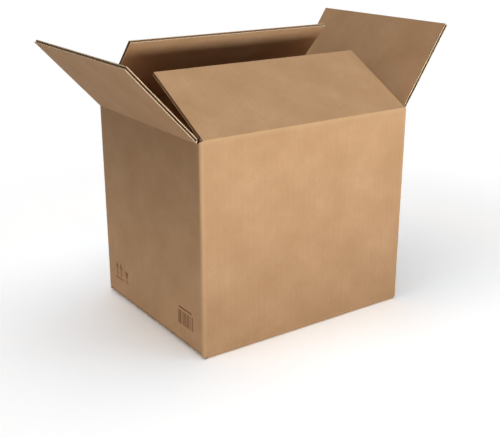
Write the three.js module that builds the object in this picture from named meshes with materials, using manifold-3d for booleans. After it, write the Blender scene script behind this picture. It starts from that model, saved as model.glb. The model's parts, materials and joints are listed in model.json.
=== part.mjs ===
import * as THREE from "three";
import { mergeVertices } from "three/addons/utils/BufferGeometryUtils.js";
import Module from "manifold-3d";

// Slotted shipping carton, folded from one sheet of single-wall corrugated board.
// Millimetres. X runs along the two long walls, Y along the two short ones, Z is up.
// The origin is the middle of the underside.

// Outside of the erected carton, from the floor to the top crease of the long walls
const boxLength = 300;
const boxWidth = 242;
const boxHeight = 258;

// The board: two flat liners with a fluted sheet glued between them
const boardThickness = 4.2;
const linerThickness = 0.4;
const mediumThickness = 0.3;
const flutePitch = 7.9;

// One flute's hollow, as shares of the pitch across and of its depth
const hollowMouth = 0.385;
const hollowShoulder = 0.15;
const hollowFloor = 0.06;
const shoulderDepth = 0.82;

// Folds, scores and slots
const foldRadius = 3.5; // outside of a fold, whose inside stays sharp
const creaseClearance = 0.25; // from a top crease to the board on either side of it
const crushedBand = 3; // board pressed shut beside a top crease
const nestClearance = 0.3; // between boards that lie on or beside one another
const shortFlapPlay = 0.6; // each side of a short-wall flap, inside the long walls
const topSeamGap = 6; // between the long-wall flaps when the top is shut
const bottomSeamGap = 2; // between the long-wall flaps of the glued bottom
const postOverlap = 0.7; // how far a corner post runs into the walls beside it
const postLift = 3; // from the floor to the foot of a corner post
const slotDip = 0.5; // from the lower crease down to the end of a slot

// The glued joint at one upright corner
const tabLength = 36;
const tabThickness = 2.6;
const tabEndGap = 14; // from the folds above and below
const tabTaper = 10; // how much shorter the tab is at its free edge
const jointSetback = 1.5; // raw edge of the wall that laps the tab

// How far each top flap leans from upright, outwards, in degrees
const frontLean = -61;
const backLean = -43.5;
const leftLean = 43;
const rightLean = 33.5;

// Sizes that follow from those above
const highCrease = boxHeight; // long walls: their flaps close on top
const lowCrease = boxHeight - boardThickness - nestClearance; // short walls
const topFlapLength = (boxWidth - topSeamGap) / 2;
const bottomFlapLength = (boxWidth - bottomSeamGap) / 2;
const longFlapInset = boardThickness + nestClearance;
const shortFlapInset = boardThickness + shortFlapPlay;
const longFlapWidth = boxLength - 2 * longFlapInset;
const shortFlapWidth = boxWidth - 2 * shortFlapInset;
const postLeg = Math.max(longFlapInset, shortFlapInset) + postOverlap;
const postTop = lowCrease - slotDip;

const kraftOutside = { color: 0xc79a6c, roughness: 0.86, metalness: 0 };
const kraftInside = { color: 0xb98c60, roughness: 0.9, metalness: 0 };

const wasm = await Module();
wasm.setup();

function solidFrom(geometry) {
  const bare = geometry.clone();
  bare.deleteAttribute("normal");
  bare.deleteAttribute("uv");
  const merged = mergeVertices(bare);
  const vertProperties = merged.attributes.position.array;
  const triVerts = new Uint32Array(merged.index.array);
  return new wasm.Manifold(new wasm.Mesh({ numProp: 3, vertProperties, triVerts }));
}

function geometryFrom(solid) {
  const { vertProperties, triVerts } = solid.getMesh();
  const geometry = new THREE.BufferGeometry();
  geometry.setAttribute("position", new THREE.BufferAttribute(vertProperties, 3));
  geometry.setIndex(new THREE.BufferAttribute(triVerts, 1));
  const faceted = geometry.toNonIndexed();
  faceted.computeVertexNormals();
  return faceted;
}

function extruded(shapes, depth) {
  return new THREE.ExtrudeGeometry(shapes, { depth, bevelEnabled: false, curveSegments: 6 });
}

// A wall's own axes: x inwards from its outer face, y up, z along the wall.
function wallMatrix(inwardX, inwardY, reach) {
  const inward = new THREE.Vector3(inwardX, inwardY, 0);
  const up = new THREE.Vector3(0, 0, 1);
  const along = inward.clone().cross(up);
  const foot = inward.clone().multiplyScalar(-reach);
  return new THREE.Matrix4().makeBasis(inward, up, along).setPosition(foot);
}

const walls = {
  front: { matrix: wallMatrix(0, 1, boxWidth / 2), isLong: true },
  right: { matrix: wallMatrix(-1, 0, boxLength / 2), isLong: false },
  back: { matrix: wallMatrix(0, -1, boxWidth / 2), isLong: true },
  left: { matrix: wallMatrix(1, 0, boxLength / 2), isLong: false },
};

// Section through a wall and the bottom flap folded in from its foot.
// The top edge is pressed to a slope, so that a flap can fold down on it.
function wallSection(floorLevel, creaseHeight) {
  const topEdge = creaseHeight - creaseClearance;
  const section = new THREE.Shape();
  section.moveTo(bottomFlapLength, floorLevel);
  section.lineTo(foldRadius, floorLevel);
  section.absarc(foldRadius, floorLevel + foldRadius, foldRadius, -Math.PI / 2, Math.PI, true);
  section.lineTo(0, topEdge);
  section.lineTo(boardThickness, topEdge - boardThickness);
  section.lineTo(boardThickness, floorLevel + boardThickness);
  section.lineTo(bottomFlapLength, floorLevel + boardThickness);
  section.closePath();
  return section;
}

// The short-wall flaps of the bottom lie inside, on top of the long-wall ones.
function wallPanel({ matrix, isLong }) {
  const floorLevel = isLong ? 0 : boardThickness;
  const creaseHeight = isLong ? highCrease : lowCrease;
  const width = isLong ? longFlapWidth : shortFlapWidth;
  const panel = extruded(wallSection(floorLevel, creaseHeight), width);
  panel.translate(0, 0, -width / 2);
  return solidFrom(panel.applyMatrix4(matrix));
}

// Plan of an upright fold, with its outer corner at 0, 0 and a leg along each wall.
function foldPlan() {
  const plan = new THREE.Shape();
  plan.moveTo(postLeg, 0);
  plan.lineTo(foldRadius, 0);
  plan.absarc(foldRadius, foldRadius, foldRadius, -Math.PI / 2, Math.PI, true);
  plan.lineTo(0, postLeg);
  plan.lineTo(boardThickness, postLeg);
  plan.lineTo(boardThickness, boardThickness);
  plan.lineTo(postLeg, boardThickness);
  plan.closePath();
  return plan;
}

// At the glued joint the short wall folds one board further in, to become the tab.
function jointFoldPlan() {
  const tabFace = boardThickness + tabThickness;
  const plan = new THREE.Shape();
  plan.moveTo(postLeg, boardThickness);
  plan.lineTo(foldRadius, boardThickness);
  plan.absarc(foldRadius, boardThickness + foldRadius, foldRadius, -Math.PI / 2, Math.PI, true);
  plan.lineTo(0, boardThickness + foldRadius + postOverlap);
  plan.lineTo(boardThickness, boardThickness + foldRadius + postOverlap);
  plan.lineTo(boardThickness, tabFace);
  plan.lineTo(postLeg, tabFace);
  plan.closePath();
  return plan;
}

// The long wall's raw edge, which laps the tab and stops short of the corner.
function lappedEdgePlan() {
  const plan = new THREE.Shape();
  plan.moveTo(jointSetback, 0);
  plan.lineTo(postLeg, 0);
  plan.lineTo(postLeg, boardThickness);
  plan.lineTo(jointSetback, boardThickness);
  plan.closePath();
  return plan;
}

function cornerMatrix(xSide, ySide) {
  const first = xSide * ySide > 0 ? new THREE.Vector3(-xSide, 0, 0) : new THREE.Vector3(0, -ySide, 0);
  const second = xSide * ySide > 0 ? new THREE.Vector3(0, -ySide, 0) : new THREE.Vector3(-xSide, 0, 0);
  const up = new THREE.Vector3(0, 0, 1);
  const foot = new THREE.Vector3((xSide * boxLength) / 2, (ySide * boxWidth) / 2, postLift);
  return new THREE.Matrix4().makeBasis(first, second, up).setPosition(foot);
}

function cornerPost(plan, xSide, ySide) {
  const post = extruded(plan, postTop - postLift);
  return solidFrom(post.applyMatrix4(cornerMatrix(xSide, ySide)));
}

// The tab lies flat on the inside of the back wall, with its two ends cut to a slant.
function glueTab() {
  const foldEdge = -boxLength / 2 + boardThickness - postOverlap;
  const freeEdge = -boxLength / 2 + boardThickness + tabLength;
  const low = 2 * boardThickness + tabEndGap;
  const high = lowCrease - boardThickness - tabEndGap;
  const outline = new THREE.Shape();
  outline.moveTo(foldEdge, low);
  outline.lineTo(freeEdge, low + tabTaper);
  outline.lineTo(freeEdge, high - tabTaper);
  outline.lineTo(foldEdge, high);
  outline.closePath();
  const tab = extruded(outline, tabThickness);
  const along = new THREE.Vector3(-1, 0, 0);
  const up = new THREE.Vector3(0, 0, 1);
  const outward = new THREE.Vector3(0, 1, 0);
  const innerFace = new THREE.Vector3(0, boxWidth / 2 - boardThickness - tabThickness, 0);
  return solidFrom(tab.applyMatrix4(new THREE.Matrix4().makeBasis(along, up, outward).setPosition(innerFace)));
}

function cartonBody() {
  const pieces = [
    wallPanel(walls.front),
    wallPanel(walls.right),
    wallPanel(walls.back),
    wallPanel(walls.left),
    cornerPost(foldPlan(), -1, -1),
    cornerPost(foldPlan(), 1, -1),
    cornerPost(foldPlan(), -1, 1),
    cornerPost(jointFoldPlan(), 1, 1),
    cornerPost(lappedEdgePlan(), 1, 1),
    glueTab(),
  ];
  return pieces.reduce((whole, piece) => whole.add(piece));
}

// Section of one flute's hollow: wide where it meets a liner, round at its floor.
function hollowShape(linerSide, floorSide, centre) {
  const shoulder = linerSide + shoulderDepth * (floorSide - linerSide);
  const shape = new THREE.Shape();
  shape.moveTo(linerSide, centre - hollowMouth * flutePitch);
  shape.lineTo(shoulder, centre - hollowShoulder * flutePitch);
  shape.lineTo(floorSide, centre - hollowFloor * flutePitch);
  shape.lineTo(floorSide, centre + hollowFloor * flutePitch);
  shape.lineTo(shoulder, centre + hollowShoulder * flutePitch);
  shape.lineTo(linerSide, centre + hollowMouth * flutePitch);
  shape.closePath();
  return shape;
}

// All hollows of a flap. Those under the outer liner also open the two cut sides.
function fluteHollows(width) {
  const count = Math.round(width / flutePitch);
  const step = width / count;
  const outerLiner = linerThickness;
  const innerLiner = boardThickness - linerThickness;
  const shapes = [];
  for (let i = 0; i <= count; i += 1) {
    shapes.push(hollowShape(outerLiner, innerLiner - mediumThickness, -width / 2 + i * step));
  }
  for (let i = 0; i < count; i += 1) {
    shapes.push(hollowShape(innerLiner, outerLiner + mediumThickness, -width / 2 + (i + 0.5) * step));
  }
  return shapes;
}

// A top flap, with its crease along z through 0, 0 and its outer face on x = 0.
function topFlap(width) {
  const root = creaseClearance;
  const side = new THREE.Shape();
  side.moveTo(0, root);
  side.lineTo(boardThickness, root + boardThickness);
  side.lineTo(boardThickness, topFlapLength);
  side.lineTo(0, topFlapLength);
  side.closePath();
  const board = extruded(side, width).translate(0, 0, -width / 2);
  const hollowStart = root + boardThickness + crushedBand;
  const hollows = extruded(fluteHollows(width), topFlapLength);
  const across = new THREE.Vector3(1, 0, 0);
  const along = new THREE.Vector3(0, 0, -1);
  const up = new THREE.Vector3(0, 1, 0);
  hollows.applyMatrix4(new THREE.Matrix4().makeBasis(across, along, up).setPosition(0, hollowStart, 0));
  return solidFrom(board).subtract(solidFrom(hollows));
}

function boardMesh(name, solid, finish) {
  const mesh = new THREE.Mesh(geometryFrom(solid), new THREE.MeshStandardMaterial(finish));
  mesh.name = name;
  return mesh;
}

function hingedFlap(name, wall, lean, finish) {
  const flap = boardMesh(name, topFlap(wall.isLong ? longFlapWidth : shortFlapWidth), finish);
  flap.rotation.z = THREE.MathUtils.degToRad(lean);
  const crease = new THREE.Group();
  crease.position.y = wall.isLong ? highCrease : lowCrease;
  crease.add(flap);
  const onWall = new THREE.Group();
  onWall.applyMatrix4(wall.matrix);
  onWall.add(crease);
  return onWall;
}

const carton = new THREE.Group();
carton.add(
  boardMesh("carton_body", cartonBody(), kraftOutside),
  hingedFlap("front_flap", walls.front, frontLean, kraftOutside),
  hingedFlap("back_flap", walls.back, backLean, kraftInside),
  hingedFlap("left_flap", walls.left, leftLean, kraftOutside),
  hingedFlap("right_flap", walls.right, rightLean, kraftInside),
);

export default carton;
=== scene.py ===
import json
import math

import bmesh
import bpy
from mathutils import Matrix, Vector


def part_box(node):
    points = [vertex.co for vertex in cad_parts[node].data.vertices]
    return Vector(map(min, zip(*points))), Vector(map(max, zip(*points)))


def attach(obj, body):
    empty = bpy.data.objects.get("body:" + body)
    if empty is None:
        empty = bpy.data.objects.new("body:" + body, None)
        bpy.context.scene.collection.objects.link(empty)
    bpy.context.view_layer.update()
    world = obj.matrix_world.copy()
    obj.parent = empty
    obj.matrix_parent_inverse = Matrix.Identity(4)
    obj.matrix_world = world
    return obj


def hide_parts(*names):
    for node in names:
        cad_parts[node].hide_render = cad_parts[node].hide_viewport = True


mm = 0.001

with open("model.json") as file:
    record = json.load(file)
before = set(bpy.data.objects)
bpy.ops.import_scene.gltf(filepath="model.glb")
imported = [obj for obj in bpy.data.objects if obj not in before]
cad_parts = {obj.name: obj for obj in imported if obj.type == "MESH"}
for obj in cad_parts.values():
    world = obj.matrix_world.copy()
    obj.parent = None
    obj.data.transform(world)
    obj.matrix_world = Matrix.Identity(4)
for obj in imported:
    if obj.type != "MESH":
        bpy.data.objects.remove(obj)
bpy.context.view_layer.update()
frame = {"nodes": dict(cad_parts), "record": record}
print("frame loaded")

# Single-wall board: two kraft liners with a fluted medium glued between them
# Real liners are near 0.4 mm; they are drawn as thick as they have to be to show at a cut.
board = {
    "thickness": 4.2 * mm,
    "outerLiner": 0.95 * mm,
    "innerLiner": 1.15 * mm,
    "medium": 0.6 * mm,
    "flutePitch": 7.9 * mm,
    "creaseGap": 0.25 * mm,  # from a top crease to the flap's board above it
}

bodyLow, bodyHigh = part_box("carton_body")
boxSize = {"length": bodyHigh[0] - bodyLow[0], "width": bodyHigh[1] - bodyLow[1], "crease": 258.0 * mm}

paperColours = {
    "light": "d1a87f",
    "dark": "c0976d",
    "warm": "cb9d73",
    "cutFibre": "dec3a1",
    # the fluting paper's own darker tone, deepened as painted shade for where it lies inside the board
    "medium": "6b4a31",
    "mediumEdge": "c49c74",
    # painted shade for the flutes' hollows on a flat cut end
    "hollow": "24160b",
    "ink": "84573c",
    "inkThin": "a27655",
    # the paler band at the folds: rubbed wear and a painted highlight of the rounded folds
    "foldRubAndHighlight": "d6b183",
}


def toLinear(hexColour):
    channels = [int(hexColour[i : i + 2], 16) / 255 for i in (0, 2, 4)]
    linear = [c / 12.92 if c <= 0.04045 else ((c + 0.055) / 1.055) ** 2.4 for c in channels]
    return (*linear, 1.0)


# The kinds of node that are used most
mathNode = "ShaderNodeMath"
mixNode = "ShaderNodeMix"
noiseNode = "ShaderNodeTexNoise"
rangeNode = "ShaderNodeMapRange"
noiseLow, noiseHigh = 0.3, 0.7  # most of a noise texture's values lie between these


def addNode(tree, kind, inputs=None, **settings):
    node = tree.nodes.new(kind)
    for key, value in settings.items():
        setattr(node, key, value)
    for key, value in (inputs or {}).items():
        if isinstance(value, bpy.types.NodeSocket):
            tree.links.new(value, node.inputs[key])
        else:
            node.inputs[key].default_value = value
    return node


def newMaterial(name):
    material = bpy.data.materials.new(name)
    material.use_nodes = True
    tree = material.node_tree
    tree.nodes.clear()
    surface = addNode(tree, "ShaderNodeBsdfPrincipled")
    output = addNode(tree, "ShaderNodeOutputMaterial")
    tree.links.new(surface.outputs["BSDF"], output.inputs["Surface"])
    return material, tree, surface


def distanceFromFolds(tree):
    # Metres from the nearest upright fold, top crease or foot, in the walls' own coordinates
    here = addNode(tree, "ShaderNodeTexCoord").outputs["Object"]
    place = addNode(tree, "ShaderNodeSeparateXYZ", {0: here})
    acrossX = addNode(tree, mathNode, {0: place.outputs[0]}, operation="ABSOLUTE").outputs[0]
    acrossY = addNode(tree, mathNode, {0: place.outputs[1]}, operation="ABSOLUTE").outputs[0]
    gapX = addNode(tree, mathNode, {0: boxSize["length"] / 2, 1: acrossX}, operation="SUBTRACT").outputs[0]
    gapY = addNode(tree, mathNode, {0: boxSize["width"] / 2, 1: acrossY}, operation="SUBTRACT").outputs[0]
    fold = addNode(tree, mathNode, {0: gapX, 1: gapY}, operation="MAXIMUM").outputs[0]
    height = place.outputs[2]
    top = addNode(tree, mathNode, {0: boxSize["crease"], 1: height}, operation="SUBTRACT").outputs[0]
    level = addNode(tree, mathNode, {0: top, 1: height}, operation="MINIMUM").outputs[0]
    return addNode(tree, mathNode, {0: fold, 1: level}, operation="MINIMUM").outputs[0]


def kraftLiner(name, look):
    # Kraft linerboard, machine made: matt brown paper, cloudy, with short fibres across
    # the flutes and the flutes themselves just showing through as soft upright bands.
    material, tree, surface = newMaterial(name)
    uv = addNode(tree, "ShaderNodeUVMap", uv_map="board").outputs["UV"]
    cloud = addNode(tree, noiseNode, {"Vector": uv, "Scale": 1 / look["cloud"], "Detail": 3.0,
                                      "Roughness": 0.55}).outputs[0]
    patch = addNode(tree, noiseNode, {"Vector": uv, "Scale": 1 / look["patch"], "Detail": 5.0,
                                      "Roughness": 0.6}).outputs[0]
    stretch = (1 / look["fibreLength"], 1 / look["fibreWidth"], 1.0)
    along = addNode(tree, "ShaderNodeMapping", {"Vector": uv, "Scale": stretch}).outputs[0]
    fibre = addNode(tree, noiseNode, {"Vector": along, "Scale": 1.0, "Detail": 4.0,
                                      "Roughness": 0.7}).outputs[0]
    parts = addNode(tree, "ShaderNodeSeparateXYZ", {0: uv})
    turn = addNode(tree, mathNode, {0: parts.outputs[0], 1: 2 * math.pi / board["flutePitch"]},
                   operation="MULTIPLY").outputs[0]
    flute = addNode(tree, mathNode, {0: turn}, operation="SINE").outputs[0]

    # Colour: clouds of two kraft browns, warmer patches, paler fibres and the flutes' faint bands
    cloudShare = addNode(tree, rangeNode, {"Value": cloud, 1: noiseLow, 2: noiseHigh}).outputs[0]
    patchShare = addNode(tree, rangeNode, {"Value": patch, 1: noiseLow, 2: noiseHigh, 3: 0.0,
                                           4: look["patchShare"]}).outputs[0]
    base = addNode(tree, mixNode, {0: cloudShare, 6: toLinear(look["dark"]), 7: toLinear(look["light"])},
                   data_type="RGBA").outputs[2]
    paper = addNode(tree, mixNode, {0: patchShare, 6: base, 7: toLinear(look["warm"])},
                    data_type="RGBA").outputs[2]
    # Paler near the upright folds, the top crease and the foot: partly rubbed wear, partly a painted
    # highlight of the rounded folds
    if look["foldRubAndHighlight"] > 0:
        away = distanceFromFolds(tree)
        rubAndHighlight = addNode(tree, rangeNode, {"Value": away, 1: look["rubAndHighlightStart"], 2: look["rubAndHighlightWidth"],
                                        3: look["foldRubAndHighlight"], 4: 0.0},
                      interpolation_type="SMOOTHSTEP").outputs[0]
        paper = addNode(tree, mixNode, {0: rubAndHighlight, 6: paper, 7: toLinear(paperColours["foldRubAndHighlight"])},
                        data_type="RGBA").outputs[2]
    fibreLow, fibreHigh = look["fibreSpan"]
    fibreTone = addNode(tree, rangeNode, {"Value": fibre, 1: fibreLow, 2: fibreHigh,
                                          3: 1 - look["fibreContrast"],
                                          4: 1 + look["fibreContrast"]}).outputs[0]
    fluteTone = addNode(tree, mathNode, {0: flute, 1: look["fluteContrast"], 2: 1.0},
                        operation="MULTIPLY_ADD").outputs[0]
    tone = addNode(tree, mathNode, {0: fibreTone, 1: fluteTone}, operation="MULTIPLY").outputs[0]
    colour = addNode(tree, "ShaderNodeVectorMath", {0: paper, 1: tone}, operation="MULTIPLY").outputs[0]
    tree.links.new(colour, surface.inputs["Base Color"])

    rough = addNode(tree, rangeNode, {"Value": patch, 1: noiseLow, 2: noiseHigh,
                                      3: look["roughness"] - look["roughSwing"],
                                      4: look["roughness"] + look["roughSwing"]}).outputs[0]
    tree.links.new(rough, surface.inputs["Roughness"])
    surface.inputs["IOR"].default_value = look["ior"]
    relief = addNode(tree, mathNode, {0: flute, 1: look["fluteRelief"], 2: fibre},
                     operation="MULTIPLY_ADD").outputs[0]
    bump = addNode(tree, "ShaderNodeBump", {"Height": relief, "Strength": look["bump"],
                                            "Distance": look["bumpDepth"]}).outputs[0]
    tree.links.new(bump, surface.inputs["Normal"])
    return material


# How the dull papers and the ink look beside the liners
cutLook = {
    "fuzz": 1.2 * mm,  # size of the loose fibre tufts; real ones are finer
    "tone": (0.86, 1.08),
    "roughness": 0.95,
    "bump": 0.4,
    "bumpDepth": 0.15 * mm,
}
dullLook = {
    "speck": 2 * mm,
    "tone": (0.85, 1.1),
    "roughness": 0.95,
    "inkRoughness": 0.7,
    "gloss": 0.1,  # loose, unsized fibre has next to none
}


def cutPaper(name, colour):
    # The die-cut edge of a liner: pale, fuzzy paper fibre.
    material, tree, surface = newMaterial(name)
    place = addNode(tree, "ShaderNodeTexCoord").outputs["Object"]
    fuzz = addNode(tree, noiseNode, {"Vector": place, "Scale": 1 / cutLook["fuzz"],
                                     "Detail": 3.0}).outputs[0]
    dark, pale = cutLook["tone"]
    tone = addNode(tree, rangeNode, {"Value": fuzz, 1: noiseLow, 2: noiseHigh, 3: dark, 4: pale}).outputs[0]
    shade = addNode(tree, "ShaderNodeVectorMath", {0: toLinear(colour)[:3], 1: tone},
                    operation="MULTIPLY").outputs[0]
    tree.links.new(shade, surface.inputs["Base Color"])
    surface.inputs["Roughness"].default_value = cutLook["roughness"]
    bump = addNode(tree, "ShaderNodeBump", {"Height": fuzz, "Strength": cutLook["bump"],
                                            "Distance": cutLook["bumpDepth"]}).outputs[0]
    tree.links.new(bump, surface.inputs["Normal"])
    return material


def boardEnd(name):
    # The cut end of the folded body's board: two pale liners with the flutes' hollows painted between them
    # as dark shade.
    material, tree, surface = newMaterial(name)
    uv = addNode(tree, "ShaderNodeUVMap", uv_map="board").outputs["UV"]
    parts = addNode(tree, "ShaderNodeSeparateXYZ", {0: uv})
    middle = (board["thickness"] + board["outerLiner"] - board["innerLiner"]) / 2
    height = (board["thickness"] - board["outerLiner"] - board["innerLiner"]) / 2
    offset = addNode(tree, mathNode, {0: parts.outputs[1], 1: middle}, operation="SUBTRACT").outputs[0]
    turn = addNode(tree, mathNode, {0: parts.outputs[0], 1: 2 * math.pi / board["flutePitch"]},
                   operation="MULTIPLY").outputs[0]
    swing = addNode(tree, mathNode, {0: turn}, operation="SINE").outputs[0]
    wave = addNode(tree, mathNode, {0: swing, 1: height}, operation="MULTIPLY").outputs[0]
    apart = addNode(tree, mathNode, {0: offset, 1: wave}, operation="SUBTRACT").outputs[0]
    apartSize = addNode(tree, mathNode, {0: apart}, operation="ABSOLUTE").outputs[0]
    onMedium = addNode(tree, mathNode, {0: apartSize, 1: board["medium"] / 2},
                       operation="LESS_THAN").outputs[0]
    offsetSize = addNode(tree, mathNode, {0: offset}, operation="ABSOLUTE").outputs[0]
    onLiner = addNode(tree, mathNode, {0: offsetSize, 1: height}, operation="GREATER_THAN").outputs[0]
    # painted shade in the flutes' hollows, with the medium's dark colour between them
    core = addNode(tree, mixNode, {0: onMedium, 6: toLinear(paperColours["hollow"]),
                                   7: toLinear(paperColours["medium"])}, data_type="RGBA").outputs[2]
    colour = addNode(tree, mixNode, {0: onLiner, 6: core, 7: toLinear(paperColours["cutFibre"])},
                     data_type="RGBA").outputs[2]
    tree.links.new(colour, surface.inputs["Base Color"])
    surface.inputs["Roughness"].default_value = dullLook["roughness"]
    surface.inputs["Specular IOR Level"].default_value = dullLook["gloss"]
    return material


def speckedMatt(name, colour, roughness):
    # One colour, faintly specked by the fibres in it or under it, and next to no gloss
    material, tree, surface = newMaterial(name)
    place = addNode(tree, "ShaderNodeTexCoord").outputs["Object"]
    speck = addNode(tree, noiseNode, {"Vector": place, "Scale": 1 / dullLook["speck"],
                                      "Detail": 4.0}).outputs[0]
    dark, pale = dullLook["tone"]
    tone = addNode(tree, rangeNode, {"Value": speck, 1: noiseLow, 2: noiseHigh, 3: dark, 4: pale}).outputs[0]
    shade = addNode(tree, "ShaderNodeVectorMath", {0: toLinear(colour)[:3], 1: tone},
                    operation="MULTIPLY").outputs[0]
    tree.links.new(shade, surface.inputs["Base Color"])
    surface.inputs["Roughness"].default_value = roughness
    surface.inputs["Specular IOR Level"].default_value = dullLook["gloss"]
    return material


linerLook = {
    "light": paperColours["light"],
    "dark": paperColours["dark"],
    "warm": paperColours["warm"],
    "cloud": 55 * mm,  # size of the clouds in the paper
    "patch": 11 * mm,
    "patchShare": 0.5,
    "fibreLength": 5 * mm,  # real fibres are finer; drawn as coarse as the render can show
    "fibreWidth": 0.9 * mm,
    "fibreSpan": (0.25, 0.75),
    "fibreContrast": 0.07,
    "fluteContrast": 0.008,
    "fluteRelief": 0.45,  # height of the flutes' bands, against 1 for the fibres
    "roughness": 0.86,
    "roughSwing": 0.05,
    "ior": 1.45,
    "bump": 0.35,
    "bumpDepth": 0.1 * mm,
    "foldRubAndHighlight": 0.0,  # how much paler the paper is at a fold: partly rubbed wear, partly a painted highlight of the rounded fold
    "rubAndHighlightStart": 1.5 * mm,
    "rubAndHighlightWidth": 7 * mm,
}
linerPaper = kraftLiner("kraft_liner", linerLook)
# The walls' paper carries the paler fold band: rubbed wear and a painted highlight
wallPaper = kraftLiner("kraft_liner_walls", {**linerLook, "foldRubAndHighlight": 0.4})
cutEdge = cutPaper("cut_liner_edge", paperColours["cutFibre"])
endGrain = boardEnd("cut_board_end")

# Recycled fluting paper, pressed and unsized: duller and rougher than the liners, and darker, partly by its
# own tone and partly as painted shade for its place inside the board
shadedMediumPaper = speckedMatt("fluting_medium_painted_shade", paperColours["medium"], dullLook["roughness"])
mediumEdge = speckedMatt("cut_medium_edge", paperColours["mediumEdge"], dullLook["roughness"])

# Water-based ink rolled on by a flexible plate: a thin, matt brown film that sinks into the paper
inkFilm = speckedMatt("flexo_ink_brown", paperColours["ink"], dullLook["inkRoughness"])
inkThin = speckedMatt("flexo_ink_brown_thin", paperColours["inkThin"], dullLook["inkRoughness"])
print("materials made")

# The camera stands where the photograph was taken from
view = {
    "position": (-606.1 * mm, -872.3 * mm, 481.9 * mm),
    "azimuth": -34.70,
    "elevation": 19.43,
    "focalPixels": 863.1,
    "imageWidth": 500,
    "sensorWidth": 36.0,
    "nearest": 10 * mm,
}


def setUpCamera():
    data = bpy.data.cameras.new("camera")
    data.sensor_width = view["sensorWidth"]
    data.lens = view["focalPixels"] / view["imageWidth"] * view["sensorWidth"]
    data.clip_start = view["nearest"]
    camera = bpy.data.objects.new("camera", data)
    bpy.context.scene.collection.objects.link(camera)
    azimuth, elevation = math.radians(view["azimuth"]), math.radians(view["elevation"])
    level = math.cos(elevation)
    back = Vector((math.sin(azimuth) * level, -math.cos(azimuth) * level, math.sin(elevation)))
    camera.rotation_mode = "QUATERNION"
    camera.rotation_quaternion = (-back).to_track_quat("-Z", "Y")
    camera.location = view["position"]
    bpy.context.scene.camera = camera


setUpCamera()

# Every top flap: its joint in the frame, the way in from its wall's outer face, its lean from upright,
# and how far the slots cut it back from either corner
flaps = {
    "front": {"joint": "front_crease", "inward": (0, 1, 0), "lean": -61.0, "inset": 4.5 * mm},
    "back": {"joint": "back_crease", "inward": (0, -1, 0), "lean": -43.5, "inset": 4.5 * mm},
    "left": {"joint": "left_crease", "inward": (1, 0, 0), "lean": 43.0, "inset": 4.8 * mm},
    "right": {"joint": "right_crease", "inward": (-1, 0, 0), "lean": 33.5, "inset": 4.8 * mm},
}
flapLook = {
    "reach": 118 * mm,  # from crease to free edge
    "crush": 1.2 * mm,  # beside the crease both liners are pressed together
    "mediumStart": 1.0 * mm,  # the medium begins this far above the crushed strip's slope
    "topRecess": 0.2 * mm,  # it stops a little short of the free edge, as a blunt die leaves it
    "sideRecess": 0.3 * mm,  # and its side cuts lie a little deeper than the liners' ones
    "glueDepth": 0.02 * mm,  # its crests sink into either liner
    "beadRadius": 0.27 * mm,  # the score shows outside as a fine rounded line
    "beadSteps": 10,
    "smoothAngle": 35,
}
jointsByName = {joint["name"]: joint for joint in frame["record"]["behaviour"]["joints"]}


def flapWidth(side):
    across = boxSize["length"] if side in ("front", "back") else boxSize["width"]
    return across - 2 * flaps[side]["inset"]


def creaseMatrix(side, lean=0.0):
    # Own axes of a crease: x inwards from the outer face, y up the board, z along the crease
    inward = Vector(flaps[side]["inward"])
    up = Vector((0, 0, 1))
    along = inward.cross(up)
    pivot = Vector(jointsByName[flaps[side]["joint"]]["pos_m"])
    basis = Matrix((inward, up, along)).transposed().to_4x4()
    return Matrix.Translation(pivot) @ basis @ Matrix.Rotation(math.radians(lean), 4, "Z")


def linkMesh(name, mesh, materials):
    for material in materials:
        mesh.materials.append(material)
    thing = bpy.data.objects.new(name, mesh)
    bpy.context.scene.collection.objects.link(thing)
    return thing


def smoothByAngle(mesh, degrees):
    mesh.shade_smooth()
    mesh.set_sharp_from_angle(angle=math.radians(degrees))


def sweepProfile(name, profile, slots, width, place, materials):
    # A closed outline (inwards, up) swept along the crease; slots gives each side's material
    shape = bmesh.new()
    board2d = shape.loops.layers.uv.new("board")
    ends = [[shape.verts.new((x, y, z)) for x, y in profile] for z in (-width / 2, width / 2)]
    run = 0.0
    for i, slot in enumerate(slots):
        j = (i + 1) % len(profile)
        step = math.dist(profile[i], profile[j])
        face = shape.faces.new((ends[0][i], ends[0][j], ends[1][j], ends[1][i]))
        face.material_index = slot
        corners = ((-width / 2, run), (-width / 2, run + step), (width / 2, run + step), (width / 2, run))
        for loop, corner in zip(face.loops, corners):
            loop[board2d].uv = corner
        run += step
    for end in ends:
        face = shape.faces.new(end)
        face.material_index = 1
        for loop in face.loops:
            loop[board2d].uv = (loop.vert.co.y, loop.vert.co.x)
    bmesh.ops.recalc_face_normals(shape, faces=shape.faces)
    shape.transform(place)
    mesh = bpy.data.meshes.new(name)
    shape.to_mesh(mesh)
    shape.free()
    smoothByAngle(mesh, flapLook["smoothAngle"])
    return linkMesh(name, mesh, materials)


def flapLiners(side):
    # Both liners as one folded profile; the inner one is pressed to the outer one at the crease
    thick, outer, inner = board["thickness"], board["outerLiner"], board["innerLiner"]
    root, reach = board["creaseGap"], flapLook["reach"]
    pressed = root + flapLook["crush"]
    profile = [(0, root), (0, reach), (outer, reach), (outer, pressed + outer),
               (thick - inner, pressed + thick - inner), (thick - inner, reach), (thick, reach),
               (thick, root + thick)]
    slots = [0, 1, 2, 2, 2, 1, 0, 0]  # liner, cut edge, or the dark fluting paper as painted shade on the liners' faces inside the board
    place = creaseMatrix(side, flaps[side]["lean"])
    return sweepProfile(side + "_flap_liners", profile, slots, flapWidth(side), place,
                        [linerPaper, cutEdge, shadedMediumPaper])


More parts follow.
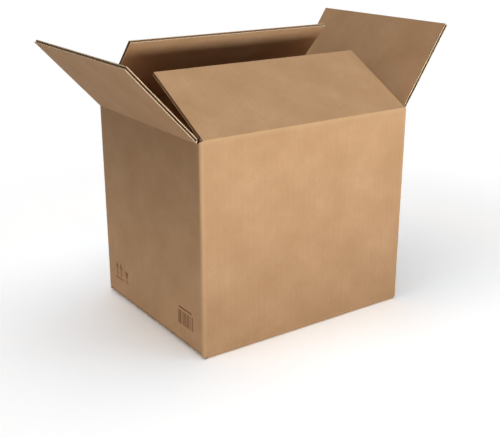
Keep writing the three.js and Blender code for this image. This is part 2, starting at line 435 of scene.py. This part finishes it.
def buildFluteTree():
    # Geometry Nodes: a sheet of paper waved into flutes, with a real thickness
    stepsPerFlute = 12.0
    tree = bpy.data.node_groups.new("fluteSheet", "GeometryNodeTree")
    interface = tree.interface
    interface.new_socket("Geometry", in_out="OUTPUT", socket_type="NodeSocketGeometry")
    for label in ("Width", "Length", "Height", "Thickness"):
        interface.new_socket(label, in_out="INPUT", socket_type="NodeSocketFloat")
    interface.new_socket("Flutes", in_out="INPUT", socket_type="NodeSocketInt")
    for label in ("Paper", "Cut edge"):
        interface.new_socket(label, in_out="INPUT", socket_type="NodeSocketMaterial")
    given = addNode(tree, "NodeGroupInput").outputs
    columns = addNode(tree, mathNode, {0: given["Flutes"], 1: stepsPerFlute, 2: 1.0},
                      operation="MULTIPLY_ADD")
    grid = addNode(tree, "GeometryNodeMeshGrid", {"Size X": given["Width"], "Size Y": given["Length"],
                                                  "Vertices X": columns.outputs[0], "Vertices Y": 2})

    # The wave: up and down once for every flute, with its crests at both liners
    here = addNode(tree, "GeometryNodeInputPosition").outputs[0]
    place = addNode(tree, "ShaderNodeSeparateXYZ", {0: here})
    share = addNode(tree, mathNode, {0: place.outputs[0], 1: given["Width"]}, operation="DIVIDE")
    fromSide = addNode(tree, mathNode, {0: share.outputs[0], 1: 0.5}, operation="ADD")
    flutes = addNode(tree, mathNode, {0: fromSide.outputs[0], 1: given["Flutes"]}, operation="MULTIPLY")
    turn = addNode(tree, mathNode, {0: flutes.outputs[0], 1: 2 * math.pi}, operation="MULTIPLY")
    swing = addNode(tree, mathNode, {0: turn.outputs[0]}, operation="COSINE")
    spare = addNode(tree, mathNode, {0: given["Height"], 1: given["Thickness"]}, operation="SUBTRACT")
    half = addNode(tree, mathNode, {0: spare.outputs[0], 1: 0.5}, operation="MULTIPLY")
    wave = addNode(tree, mathNode, {0: swing.outputs[0], 1: half.outputs[0]}, operation="MULTIPLY")
    lift = addNode(tree, "ShaderNodeCombineXYZ", {2: wave.outputs[0]})
    waved = addNode(tree, "GeometryNodeSetPosition", {"Geometry": grid.outputs[0],
                                                      "Offset": lift.outputs[0]})

    # Its thickness: the sheet is lowered by half of it and extruded upwards
    rise = addNode(tree, "ShaderNodeCombineXYZ", {2: given["Thickness"]})
    drop = addNode(tree, "ShaderNodeVectorMath", {0: rise.outputs[0], 1: (0, 0, -0.5)}, operation="MULTIPLY")
    lowered = addNode(tree, "GeometryNodeSetPosition", {"Geometry": waved.outputs[0],
                                                        "Offset": drop.outputs[0]})
    thick = addNode(tree, "GeometryNodeExtrudeMesh", {"Mesh": lowered.outputs[0], "Offset": rise.outputs[0],
                                                      "Offset Scale": 1.0, "Individual": False},
                    mode="FACES")
    under = addNode(tree, "GeometryNodeFlipFaces", {0: lowered.outputs[0]})
    both = addNode(tree, "GeometryNodeJoinGeometry")
    tree.links.new(thick.outputs[0], both.inputs[0])
    tree.links.new(under.outputs[0], both.inputs[0])
    merged = addNode(tree, "GeometryNodeMergeByDistance", {"Geometry": both.outputs[0],
                                                           "Distance": 0.001 * mm})
    real = addNode(tree, "GeometryNodeRealizeInstances", {0: merged.outputs[0]})

    # Dull paper all over, its darkness partly painted shade, and a paler cut at the free edge
    papered = addNode(tree, "GeometryNodeSetMaterial", {"Geometry": real.outputs[0],
                                                        "Material": given["Paper"]})
    facing = addNode(tree, "GeometryNodeInputNormal").outputs[0]
    normal = addNode(tree, "ShaderNodeSeparateXYZ", {0: facing})
    atEnd = addNode(tree, "FunctionNodeCompare", {0: normal.outputs[1], 1: 0.9}, operation="GREATER_THAN")
    edged = addNode(tree, "GeometryNodeSetMaterial", {"Geometry": papered.outputs[0],
                                                      "Selection": atEnd.outputs[0],
                                                      "Material": given["Cut edge"]})
    output = addNode(tree, "NodeGroupOutput")
    tree.links.new(edged.outputs[0], output.inputs[0])
    return tree


def meshFromTree(name, tree, values, place):
    # Runs a node tree on an empty carrier and keeps its result as a plain mesh
    carrier = bpy.data.objects.new(name + "_carrier", bpy.data.meshes.new(name + "_carrier"))
    bpy.context.scene.collection.objects.link(carrier)
    modifier = carrier.modifiers.new("nodes", "NODES")
    modifier.node_group = tree
    for item in tree.interface.items_tree:
        if item.in_out == "INPUT" and item.name in values:
            modifier[item.identifier] = values[item.name]
    bpy.context.view_layer.update()
    evaluated = carrier.evaluated_get(bpy.context.evaluated_depsgraph_get())
    mesh = bpy.data.meshes.new_from_object(evaluated)
    mesh.name = name
    mesh.transform(place)
    bpy.data.objects.remove(carrier)
    return linkMesh(name, mesh, [])


fluteTree = buildFluteTree()


def flapFlutes(side):
    # The medium between the liners, from the crushed strip to just below the free edge
    start = board["creaseGap"] + board["thickness"] + flapLook["mediumStart"]
    length = flapLook["reach"] - flapLook["topRecess"] - start
    width = flapWidth(side)
    low, high = board["outerLiner"], board["thickness"] - board["innerLiner"]
    values = {
        "Width": width - 2 * flapLook["sideRecess"],
        "Length": length,
        "Height": high - low + 2 * flapLook["glueDepth"],
        "Thickness": board["medium"],
        "Flutes": round(width / board["flutePitch"]),
        "Paper": shadedMediumPaper,
        "Cut edge": mediumEdge,
    }
    # The sheet's x runs along the crease, its y up the board and its z from face to face
    middle = (low + high) / 2
    turned = Matrix(((0, 0, 1, middle), (0, 1, 0, start + length / 2), (-1, 0, 0, 0), (0, 0, 0, 1)))
    place = creaseMatrix(side, flaps[side]["lean"]) @ turned
    return meshFromTree(side + "_flap_flutes", fluteTree, values, place)


def creaseBead(side):
    # The pressed score, flush with the wall's outside
    radius, steps = flapLook["beadRadius"], flapLook["beadSteps"]
    turns = [math.tau * i / steps for i in range(steps)]
    profile = [(radius + radius * math.cos(turn), radius * math.sin(turn)) for turn in turns]
    return sweepProfile(side + "_crease_bead", profile, [0] * steps, flapWidth(side), creaseMatrix(side),
                        [linerPaper, linerPaper])


for side in flaps:
    liners = flapLiners(side)
    flutes = flapFlutes(side)
    bead = creaseBead(side)
    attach(liners, side + "_flap")
    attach(flutes, side + "_flap")
    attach(bead, "box")
    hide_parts(side + "_flap")
    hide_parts(side + "_flap")
print("flaps made")

bodyLook = {
    "weld": 0.002 * mm,
    "flatAngle": 1.0,  # degrees; faces that meet at less are one flat face
    "smoothAngle": 32,
    "narrow": 4.4 * mm,  # a square face no wider than this is a cut edge
    "postTop": 253.0 * mm,  # where the frame's own corner folds end
    "foldRadius": 3.5 * mm,
    "foldSteps": 6,
    "tipHigh": 257.6 * mm,  # the fold's end slopes from the long wall's crease
    "tipLow": 253.4 * mm,  # to the short wall's
    "tipInside": 259.3 * mm,  # and rises to the inside of the fold, where the slot's blade left a web
    "tipSection": (-0.4 * mm, 5.4 * mm),  # the board is squeezed there, so its liners look thicker
    "tipReach": 4.47 * mm,  # along the long wall, almost to its flap
    "rawEdge": 1.5 * mm,  # at the glued joint the long wall stops short of the corner
}


def addFoldTip(shape, board2d, xSide, ySide):
    # Between two flaps the upright fold runs on above the walls' corner and shows the board's section
    thick, radius, reach = board["thickness"], bodyLook["foldRadius"], bodyLook["tipReach"]
    isJoint = xSide > 0 and ySide > 0
    if isJoint:
        plan = [(reach, 0), (bodyLook["rawEdge"], 0), (bodyLook["rawEdge"], thick)]
    else:
        steps = bodyLook["foldSteps"]
        turns = [math.radians(90 * i / steps) for i in range(steps + 1)]
        plan = [(reach, 0)]
        plan += [(radius - radius * math.sin(turn), radius - radius * math.cos(turn)) for turn in turns]
        plan.append((0, thick))
    inner = (reach, thick)
    high, low = bodyLook["tipHigh"], bodyLook["tipLow"]
    slope = (high - low) / (reach + thick)
    corner = Vector((xSide * boxSize["length"] / 2, ySide * boxSize["width"] / 2, 0))

    def point(across, deep, level):
        return shape.verts.new(corner + Vector((-xSide * across, -ySide * deep, level)))

    outline = plan + [inner]
    foot = [point(x, y, bodyLook["postTop"]) for x, y in outline]
    head = [point(x, y, high if isJoint else high - slope * (reach - x + y)) for x, y in plan]
    head.append(point(*inner, high if isJoint else bodyLook["tipInside"]))
    made = [shape.faces.new(foot)]
    for i in range(len(outline)):
        j = (i + 1) % len(outline)
        made.append(shape.faces.new((foot[i], foot[j], head[j], head[i])))
    fan = [shape.faces.new((head[-1], head[i], head[i + 1])) for i in range(len(outline) - 2)]
    bmesh.ops.recalc_face_normals(shape, faces=made + fan)
    for face in made:
        for loop in face.loops:
            loop[board2d].uv = (loop.vert.co.x + loop.vert.co.y, loop.vert.co.z)
    outerSide, innerSide = bodyLook["tipSection"]
    for face in fan:
        face.material_index = 1
        for loop in face.loops:
            loop[board2d].uv = (loop.vert.co.x, innerSide if loop.vert is head[-1] else outerSide)


def mapBoardFace(face, board2d):
    # Lays a face out on the flat sheet; a narrow square face shows the board's cut end
    normal = face.normal
    corners = [loop.vert.co for loop in face.loops]
    lowest = [min(c[i] for c in corners) for i in range(3)]
    sizes = [max(c[i] for c in corners) - lowest[i] for i in range(3)]
    isSquare = max(abs(normal[i]) for i in range(3)) > 0.999  # it looks straight along an axis
    isCut = isSquare and sorted(sizes)[1] < bodyLook["narrow"]
    face.material_index = 1 if isCut else 0
    across = 0 if abs(normal.x) < 0.7 else 1
    longest = sizes.index(max(sizes))
    thin = [i for i in range(3) if i != longest and abs(normal[i]) < 0.9][0]
    for loop in face.loops:
        co = loop.vert.co
        if isCut:
            loop[board2d].uv = (co[longest], co[thin] - lowest[thin])
        elif abs(normal.z) > 0.9:
            loop[board2d].uv = (co.x, co.y)
        else:
            loop[board2d].uv = (co[across], co.z)


def foldedBody():
    # The walls and bottom, cleaned up from the frame's own solid, with soft folds and a map of the sheet
    shape = bmesh.new()
    shape.from_mesh(frame["nodes"]["carton_body"].data)
    bmesh.ops.remove_doubles(shape, verts=shape.verts, dist=bodyLook["weld"])
    bmesh.ops.dissolve_limit(shape, angle_limit=math.radians(bodyLook["flatAngle"]), verts=shape.verts,
                             edges=shape.edges)
    shape.normal_update()
    board2d = shape.loops.layers.uv.new("board")
    for face in shape.faces:
        mapBoardFace(face, board2d)
    for xSide in (-1, 1):
        for ySide in (-1, 1):
            addFoldTip(shape, board2d, xSide, ySide)
    mesh = bpy.data.meshes.new("folded_body")
    shape.to_mesh(mesh)
    shape.free()
    smoothByAngle(mesh, bodyLook["smoothAngle"])
    return linkMesh("folded_body", mesh, [wallPaper, endGrain])


foldedBoard = foldedBody()
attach(foldedBoard, "box")
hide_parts("carton_body")
print("body made")

# Printed on the left wall in brown ink: a block of plain bars, a rule above it and two handling marks
# Places are measured along the wall towards its near corner, and up; the marks' own sizes are in units
printed = {
    "film": 0.04 * mm,  # how far the ink stands off the paper
    "sunk": 0.01 * mm,  # and how far it goes in
    "bars": {"start": 64.3 * mm, "width": 36.0 * mm, "low": 26.5 * mm, "high": 44.0 * mm, "count": 13,
             "widest": 3, "seed": 7, "draw": (1103515245, 12345, 2147483648)},
    "rule": {"start": 67.0 * mm, "width": 28.5 * mm, "low": 47.0 * mm, "high": 49.0 * mm},
    "upright": {
        "left": -99 * mm,
        "low": 27 * mm,
        "unit": 1.5 * mm,
        "width": 14,
        "bar": 1.6,
        "centres": (3.5, 10.5),
        "stem": (3, 10.5),
        "stemWidth": 1.8,
        "head": (10.4, 16),
        "headWidth": 6,
    },
    "cup": {
        "left": -74 * mm,
        "low": 28 * mm,
        "unit": 1.3 * mm,
        "centre": 5,
        "foot": (0, 1.2),
        "footWidth": 6,
        "stem": (1.1, 5.5),
        "stemWidth": 1.2,
        "bowl": (5.4, 12),
        "bowlWidths": (2.8, 8),
    },
}


def inkMesh(name, outlines, ink):
    # Flat shapes on the left wall, given as (along, up) outlines
    shape = bmesh.new()
    wall = -boxSize["length"] / 2
    for outline in outlines:
        low = [shape.verts.new((wall + printed["sunk"], -along, up)) for along, up in outline]
        high = [shape.verts.new((wall - printed["film"], -along, up)) for along, up in outline]
        shape.faces.new(high)
        shape.faces.new(low[::-1])
        for i in range(len(outline)):
            j = (i + 1) % len(outline)
            shape.faces.new((high[i], high[j], low[j], low[i]))
    bmesh.ops.recalc_face_normals(shape, faces=shape.faces)
    mesh = bpy.data.meshes.new(name)
    shape.to_mesh(mesh)
    shape.free()
    return linkMesh(name, mesh, [ink])


def rectangle(left, right, low, high):
    return [(left, low), (right, low), (right, high), (left, high)]


def centred(mark, middle, part, width):
    # A part of a mark, given in units: its low and high end, and its width there
    low, high = (mark["low"] + level * mark["unit"] for level in mark[part])
    half = mark[width] / 2 * mark["unit"]
    return rectangle(middle - half, middle + half, low, high)


def uprightMark():
    # Two plain arrows over a bar: this way up
    mark = printed["upright"]
    left, low, unit = mark["left"], mark["low"], mark["unit"]
    outlines = [rectangle(left, left + mark["width"] * unit, low, low + mark["bar"] * unit)]
    headLow, headTop = (low + level * unit for level in mark["head"])
    half = mark["headWidth"] / 2 * unit
    for centre in mark["centres"]:
        middle = left + centre * unit
        outlines.append(centred(mark, middle, "stem", "stemWidth"))
        outlines.append([(middle - half, headLow), (middle + half, headLow), (middle, headTop)])
    return outlines


def cupMark():
    # A plain stemmed cup: fragile
    mark = printed["cup"]
    middle = mark["left"] + mark["centre"] * mark["unit"]
    bowlLow, bowlTop = (mark["low"] + level * mark["unit"] for level in mark["bowl"])
    lowHalf, topHalf = (width / 2 * mark["unit"] for width in mark["bowlWidths"])
    return [
        centred(mark, middle, "foot", "footWidth"),
        centred(mark, middle, "stem", "stemWidth"),
        [(middle - lowHalf, bowlLow), (middle + lowHalf, bowlLow), (middle + topHalf, bowlTop),
         (middle - topHalf, bowlTop)],
    ]


def barOutlines():
    # Bars and gaps of a few units each, from a plain draw that is the same on every machine
    bars = printed["bars"]
    factor, step, limit = bars["draw"]
    state = bars["seed"]
    widths = []
    for _ in range(2 * bars["count"]):
        state = (state * factor + step) % limit
        widths.append(1 + (state >> 16) % bars["widest"])
    unit = bars["width"] / sum(widths)
    outlines = []
    position = 0.0
    for i, width in enumerate(widths):
        if i % 2 == 0:
            left = bars["start"] + position
            outlines.append(rectangle(left, left + width * unit, bars["low"], bars["high"]))
        position += width * unit
    return outlines


def wallPrint():
    # The bars take more ink than the handling marks, which are much fainter
    rule = printed["rule"]
    block = barOutlines()
    block.append(rectangle(rule["start"], rule["start"] + rule["width"], rule["low"], rule["high"]))
    marks = uprightMark() + cupMark()
    return [inkMesh("wall_print", block, inkFilm), inkMesh("handling_marks", marks, inkThin)]


for film in wallPrint():
    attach(film, "box")
print("print made")

stage = {
    "floorReach": 6.0,
    "floorBounce": (0.88, 0.87, 0.86, 1),  # what the floor gives back to the carton
    "floorSeen": (1.95, 1.95, 1.95, 1),  # what the camera sees of it, so that it stays white
    "floorNear": (1.8, 1.95, 2.08, 1),  # cooler beside the carton, which throws its brown on it
    "nearReach": (0.15, 0.45),
    "shadowReach": (0.32, 0.74),  # from the middle, where the floor fades to plain white
}

# Large soft sources: where each stands, what it points at, its size, its watts and its beam in degrees
lamps = {
    "low_strip": {"from": (0, -0.8, 0.15), "at": (0, -0.12, 0.305), "size": (1.3, 0.21), "power": 1.52,
                  "beam": 80},
    "front_strip": {"from": (0, -0.9, 0.12), "at": (0, 0, 0.2), "size": (1.0, 0.2), "power": 0.73,
                    "beam": 180},
    "right_softbox": {"from": (0.7, -1.0, 0.6), "at": (0, 0, 0.18), "size": (0.6, 0.6), "power": 1.4,
                      "beam": 180},
    "left_softbox": {"from": (-0.9, 0, 1.2), "at": (0, 0, 0.18), "size": (0.8, 0.8), "power": 1.6,
                     "beam": 180},
    "left_strip": {"from": (-0.8, 0, 0.03), "at": (-0.15, 0, 0.02), "size": (1.0, 0.05), "power": 0.17,
                   "beam": 45},
    "top_softbox": {"from": (0, 0, 1.6), "at": (0, 0, 0.18), "size": (1.5, 1.5), "power": 11.2,
                    "beam": 180},
    "back_strip": {"from": (0.1, 0.9, 0.2), "at": (0, 0.12, 0.16), "size": (1.0, 0.25), "power": 0.8,
                   "beam": 90},
}


def seenByEye(tree):
    # 1 for rays from the camera and for reflections of the stage, 0 for its light on the carton
    path = addNode(tree, "ShaderNodeLightPath")
    return addNode(tree, mathNode, {0: path.outputs["Is Camera Ray"], 1: path.outputs["Is Glossy Ray"]},
                   operation="MAXIMUM").outputs[0]


def floorMaterial():
    # Pale matt studio paper, which keeps the carton's shadow and fades to plain white further out
    material, tree, surface = newMaterial("studio_floor")
    seen = seenByEye(tree)
    place = addNode(tree, "ShaderNodeTexCoord").outputs["Object"]
    distance = addNode(tree, "ShaderNodeVectorMath", {0: place}, operation="LENGTH").outputs["Value"]
    nearStart, nearEnd = stage["nearReach"]
    away = addNode(tree, rangeNode, {"Value": distance, 1: nearStart, 2: nearEnd}).outputs[0]
    pale = addNode(tree, mixNode, {0: away, 6: stage["floorNear"], 7: stage["floorSeen"]},
                   data_type="RGBA").outputs[2]
    colour = addNode(tree, mixNode, {0: seen, 6: stage["floorBounce"], 7: pale},
                     data_type="RGBA").outputs[2]
    diffuse = addNode(tree, "ShaderNodeBsdfDiffuse", {"Color": colour})
    white = addNode(tree, "ShaderNodeEmission", {"Color": (1, 1, 1, 1), "Strength": 1.0})
    fadeStart, fadeEnd = stage["shadowReach"]
    far = addNode(tree, rangeNode, {"Value": distance, 1: fadeStart, 2: fadeEnd},
                  interpolation_type="SMOOTHSTEP").outputs[0]
    share = addNode(tree, mathNode, {0: far, 1: seen}, operation="MULTIPLY").outputs[0]
    shown = addNode(tree, "ShaderNodeMixShader", {0: share, 1: diffuse.outputs[0], 2: white.outputs[0]})
    output = [node for node in tree.nodes if node.type == "OUTPUT_MATERIAL"][0]
    tree.links.new(shown.outputs[0], output.inputs["Surface"])
    tree.nodes.remove(surface)
    return material


def makeFloor():
    reach = stage["floorReach"]
    corners = [(-reach, -reach, 0), (reach, -reach, 0), (reach, reach, 0), (-reach, reach, 0)]
    mesh = bpy.data.meshes.new("floor")
    mesh.from_pydata(corners, [], [(0, 1, 2, 3)])
    linkMesh("floor", mesh, [floorMaterial()])


def makeSky():
    world = bpy.data.worlds.new("studio")
    bpy.context.scene.world = world
    world.use_nodes = True
    tree = world.node_tree
    tree.nodes.clear()
    path = addNode(tree, "ShaderNodeLightPath")
    seen = addNode(tree, mathNode, {0: seenByEye(tree), 1: path.outputs["Is Transmission Ray"]},
                   operation="MAXIMUM").outputs[0]
    background = addNode(tree, "ShaderNodeBackground", {"Color": (1, 1, 1, 1), "Strength": seen})
    output = addNode(tree, "ShaderNodeOutputWorld")
    tree.links.new(background.outputs[0], output.inputs["Surface"])


def makeLamps():
    for name, lamp in lamps.items():
        data = bpy.data.lights.new(name, "AREA")
        data.shape = "RECTANGLE"
        data.size, data.size_y = lamp["size"]
        data.energy = lamp["power"]
        data.spread = math.radians(lamp["beam"])
        thing = bpy.data.objects.new(name, data)
        bpy.context.scene.collection.objects.link(thing)
        thing.location = lamp["from"]
        thing.visible_camera = False
        aim = Vector(lamp["at"]) - Vector(lamp["from"])
        thing.rotation_mode = "QUATERNION"
        thing.rotation_quaternion = aim.to_track_quat("-Z", "Y")


makeFloor()
makeSky()
makeLamps()
bpy.context.scene.view_settings.view_transform = "Standard"
print("stage made")
